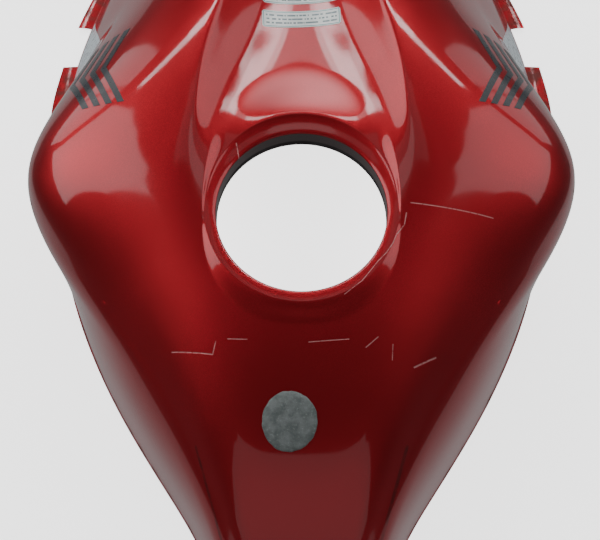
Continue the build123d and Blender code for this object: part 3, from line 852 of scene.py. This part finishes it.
def foam(name, dark, light, cell_mm=0.9):
    """Closed-cell foam: small cells, soft mottling and pale dust."""
    made, shader = material(name, light, 0.85, Specular_IOR_Level=0.25)
    place = place_of(made)
    cells = node(made, "TexVoronoi", {"Vector": place, "Scale": 1000.0 / cell_mm}).outputs["Distance"]
    patch = noise(made, place, 130.0, 5.0, 0.65)
    colour = blend_colour(made, span(made, patch, 0.32, 0.68), dark, light)
    dust = span(made, noise(made, place, 520.0, 3.0, 0.6), 0.60, 0.70, 0.0, 0.5)
    link(made, blend_colour(made, dust, colour, [min(1.0, 1.5 * c) for c in light]), shader, "Base Color")
    link(made, bump(made, cells, 0.5, 0.25, bump(made, patch, 0.6, 0.8)), shader, "Normal")
    return made


def rubber():
    """Moulded rubber with a fine grain and a pale bloom."""
    made, shader = material("moulded_rubber", (0.022, 0.021, 0.022), 0.6, Specular_IOR_Level=0.25)
    place = place_of(made)
    grain = noise(made, place, 900.0, 3.0, 0.6)
    bloom = noise(made, place, 60.0, 4.0, 0.6)
    colour = blend_colour(made, span(made, bloom, 0.4, 0.75), (0.014, 0.010, 0.011), (0.034, 0.028, 0.028))
    link(made, colour, shader, "Base Color")
    link(made, span(made, bloom, 0.3, 0.7, 0.5, 0.75), shader, "Roughness")
    link(made, bump(made, grain, 0.35, 0.12), shader, "Normal")
    return made


def zinc():
    """Zinc plate with a fine spangle and brown stains."""
    made, shader = material("zinc_plate", (0.62, 0.62, 0.60), 0.32, 1.0)
    place = place_of(made)
    spangle = node(made, "TexVoronoi", {"Vector": place, "Scale": 420.0}).outputs["Color"]
    stain = noise(made, place, 160.0, 5.0, 0.7)
    colour = blend_colour(made, span(made, spangle, 0.1, 0.9), (0.50, 0.51, 0.50), (0.70, 0.69, 0.66))
    colour = blend_colour(made, span(made, stain, 0.58, 0.72, 0.0, 0.6), colour, (0.30, 0.24, 0.17))
    link(made, colour, shader, "Base Color")
    link(made, span(made, stain, 0.3, 0.7, 0.24, 0.5), shader, "Roughness")
    link(made, bump(made, stain, 0.2, 0.06), shader, "Normal")
    return made


def nylon():
    """Black nylon with a fine grain, paler where it is worn."""
    made, shader = material("moulded_nylon", (0.02, 0.02, 0.021), 0.45)
    place = place_of(made)
    grain = noise(made, place, 1400.0, 2.0)
    patina = noise(made, place, 200.0, 4.0, 0.7)
    colour = blend_colour(made, span(made, patina, 0.5, 0.75), (0.018, 0.018, 0.02), (0.07, 0.07, 0.072))
    link(made, colour, shader, "Base Color")
    link(made, span(made, patina, 0.3, 0.7, 0.36, 0.6), shader, "Roughness")
    link(made, bump(made, grain, 0.3, 0.05), shader, "Normal")
    return made


def foil():
    """Crumpled aluminium foil."""
    made, shader = material("heat_foil", (0.72, 0.72, 0.73), 0.28, 1.0)
    place = place_of(made)
    cells = node(made, "TexVoronoi", {"Vector": place, "Scale": 110.0}, feature="DISTANCE_TO_EDGE")
    crumple = noise(made, place, 90.0, 6.0, 0.7)
    colour = blend_colour(made, span(made, crumple, 0.35, 0.7), (0.55, 0.55, 0.56), (0.78, 0.78, 0.77))
    link(made, colour, shader, "Base Color")
    link(made, span(made, crumple, 0.3, 0.7, 0.2, 0.42), shader, "Roughness")
    creased = bump(made, cells.outputs["Distance"], 0.5, 0.4, bump(made, crumple, 0.7, 1.2))
    link(made, creased, shader, "Normal")
    return made


def cover_with(thing, made):
    """Makes this material the only one of a piece."""
    thing.data.materials.clear()
    thing.data.materials.append(made)


# ---------------------------------------------------------------- the pieces
shell = red_shell()
dress(shell, "cover", ["cover_shell"])
cover_with(shell, red_paint())

cover_with(label_film("fuel_label_film", "fuel_label", 163.0), label_print("fuel_label_print", 3, 2.0))
cover_with(label_film("info_label_film", "info_label", 184.0), label_print("info_label_print", 4, 9.0))

dark_vinyl = vinyl("dark_vinyl", (0.030, 0.036, 0.042), (0.14, 0.15, 0.16), 0.3)
pale_vinyl = vinyl("pale_vinyl", (0.60, 0.68, 0.73), (0.80, 0.83, 0.85), 0.28)
SIDES = (("left", -1), ("right", 1))
for word, side in SIDES:
    for bar in chevron_film(side, word):
        cover_with(bar, dark_vinyl)
    cover_with(flank_film(side, word), pale_vinyl)

cover_with(pad_disc(), foam("grey_pad_foam", (0.13, 0.15, 0.148), (0.23, 0.255, 0.25)))

black_rubber, plated, black_nylon = rubber(), zinc(), nylon()
grey_foam, heat_foil = foam("grey_strip_foam", (0.06, 0.065, 0.065), (0.12, 0.125, 0.125), 1.2), foil()
CAD_LOOKS = {
    "filler_seal": black_rubber, "rear_grommet": black_rubber, "rear_collar": plated, "heat_mat": heat_foil,
}
for word, _ in SIDES:
    CAD_LOOKS |= {
        f"{word}_flank_foam": grey_foam, f"{word}_front_cushion": black_rubber,
        f"{word}_front_grommet": black_rubber, f"{word}_front_collar": plated,
        f"{word}_clip_body": black_nylon, f"{word}_clip_pin": black_nylon, f"{word}_clip_nut": plated,
    }
for name, made in CAD_LOOKS.items():
    cover_with(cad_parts[name], made)


# ---------------------------------------------------------------- camera, floor and light
def camera():
    """The camera, placed as solved for from the filler opening in the photograph."""
    data = bpy.data.cameras.new("photo_camera")
    data.lens, data.sensor_width = 101.3, 36.0
    data.clip_start, data.clip_end = 0.05, 20.0
    thing = bpy.data.objects.new("photo_camera", data)
    thing.location = (-0.00107, -0.47524, 1.10269)
    thing.rotation_euler = (math.radians(21.3), 0, 0)
    bpy.context.scene.collection.objects.link(thing)
    bpy.context.scene.camera = thing


def light_panel(name, centre, facing, size, radiance):
    """A rectangular light: centre in metres, the direction it shines in, width by height and brightness."""
    data = bpy.data.lights.new(name, "AREA")
    data.shape = "RECTANGLE"
    data.size, data.size_y = size
    data.energy = radiance * math.pi * size[0] * size[1]
    thing = bpy.data.objects.new(name, data)
    thing.location = centre
    thing.rotation_euler = Vector(facing).to_track_quat("-Z", "Y").to_euler()
    bpy.context.scene.collection.objects.link(thing)


WHITE = (1, 1, 1, 1)
GLOW_REACH = 0.55


def light_sheet(name, corners, radiance, glow_from=None):
    """A bright flat many-sided sheet with corners in metres, hidden from the camera.

    If a point is given, the sheet is brightest there and fades out around it.
    """
    mesh = bpy.data.meshes.new(name)
    mesh.from_pydata(corners, [], [tuple(range(len(corners)))])
    thing = bpy.data.objects.new(name, mesh)
    bpy.context.scene.collection.objects.link(thing)
    made, shader = material(name + "_glow", (0, 0, 0), 1.0, Emission_Color=WHITE, Emission_Strength=radiance)
    if glow_from:
        away = node(made, "VectorMath", {0: place_of(made), 1: glow_from}, operation="DISTANCE")
        fading = span(made, away.outputs["Value"], 0.0, GLOW_REACH, radiance, 0.0)
        link(made, fading, shader, "Emission Strength")
    cover_with(thing, made)
    thing.visible_camera = False
    return thing


# corners (y, z) on the side walls and (x, z) on the front wall, metres
WALL_AWAY = 1.2
SIDE_WINDOW = (
    (-0.28, 0.07), (0.45, 0.09), (0.55, 0.33), (1.05, 1.0), (1.0, 1.7), (0.75, 2.15), (0.3, 2.35),
    (0.0, 1.95), (-0.23, 1.0))
LOW_WINDOW = ((0.62, -0.1), (0.62, 0.22), (1.12, 0.9), (1.19, 0.9), (1.19, -0.1))
FRONT_BAND = ((0.16, 1.10), (1.19, 1.30), (1.19, 1.44), (0.16, 1.26))
BRIGHT_BAND = ((0.26, 1.10), (0.76, 1.18), (0.76, 1.34), (0.26, 1.26))
BAND_MIDDLE = ((-0.16, 1.08), (0.16, 1.08), (0.16, 1.24), (-0.16, 1.24))
FRONT_MIDDLE = ((-0.6, 0.05), (0.6, 0.05), (0.6, 1.06), (-0.6, 1.06))
FRONT_CORNER = ((1.0, -0.1), (1.19, -0.1), (1.19, 0.95), (1.0, 0.9))

camera()
for word, side, high, low in (("left", -1, 2.5, 2.0), ("right", 1, 1.5, 1.3)):
    for part, corners, radiance in (("window", SIDE_WINDOW, high), ("low_window", LOW_WINDOW, low)):
        light_sheet(f"{word}_{part}", [(side * WALL_AWAY, y, z) for y, z in corners], radiance)
    for part, away, corners, radiance in (
            ("front_band", WALL_AWAY, FRONT_BAND, 9.0), ("bright_band", WALL_AWAY - 0.01, BRIGHT_BAND, 13.0),
            ("front_corner", WALL_AWAY, FRONT_CORNER, low)):
        light_sheet(f"{word}_{part}", [(side * x, away, z) for x, z in corners], radiance)
light_sheet("band_middle", [(x, WALL_AWAY, z) for x, z in BAND_MIDDLE], 2.5)
light_sheet("front_middle", [(x, WALL_AWAY, z) for x, z in FRONT_MIDDLE], 4.5, (0.12, WALL_AWAY, 0.60))
light_panel("overhead_front", (0, 0.85, 2.6), (0, 0, -1), (1.8, 0.9), 0.3)
light_panel("overhead", (0, 0.48, 2.55), (0, 0, -1), (0.5, 0.35), 0.7)
light_panel("rear_wall", (0, -1.25, 0.53), (0, 1, 0), (2.4, 1.26), 0.4)
for word, side in SIDES:
    light_panel(f"under_cover_{word}", (side * 0.11, 0.03, -0.055), (0, 0, -1), (0.07, 0.16), 4.0)
# reflections see this dim plate in the floor's place
NEAR_FLOOR = ((-0.36, -0.5), (0.36, -0.5), (0.36, 0.5), (-0.36, 0.5))
near_floor = light_sheet("near_floor", [(x, y, -0.161) for x, y in NEAR_FLOOR], 0.35)
near_floor.visible_diffuse = False

world = bpy.data.worlds.new("studio")
world.use_nodes = True
world.node_tree.nodes["Background"].inputs["Color"].default_value = (0.9, 0.9, 0.92, 1)
world.node_tree.nodes["Background"].inputs["Strength"].default_value = 0.06
bpy.context.scene.world = world

FLOOR_HALF = 3000.0
floor = make_piece(
    "floor", [(x * FLOOR_HALF, y * FLOOR_HALF, LOWER_EDGE_Z - 0.3)
              for x, y in ((-1, -1), (1, -1), (1, 1), (-1, 1))],
    [(0, 1, 2, 3)])
pale, _ = material("pale_floor", (0.90, 0.90, 0.90), 0.7, Emission_Color=WHITE, Emission_Strength=2.2)
cover_with(floor, pale)
floor.visible_glossy = False
floor.visible_diffuse = False
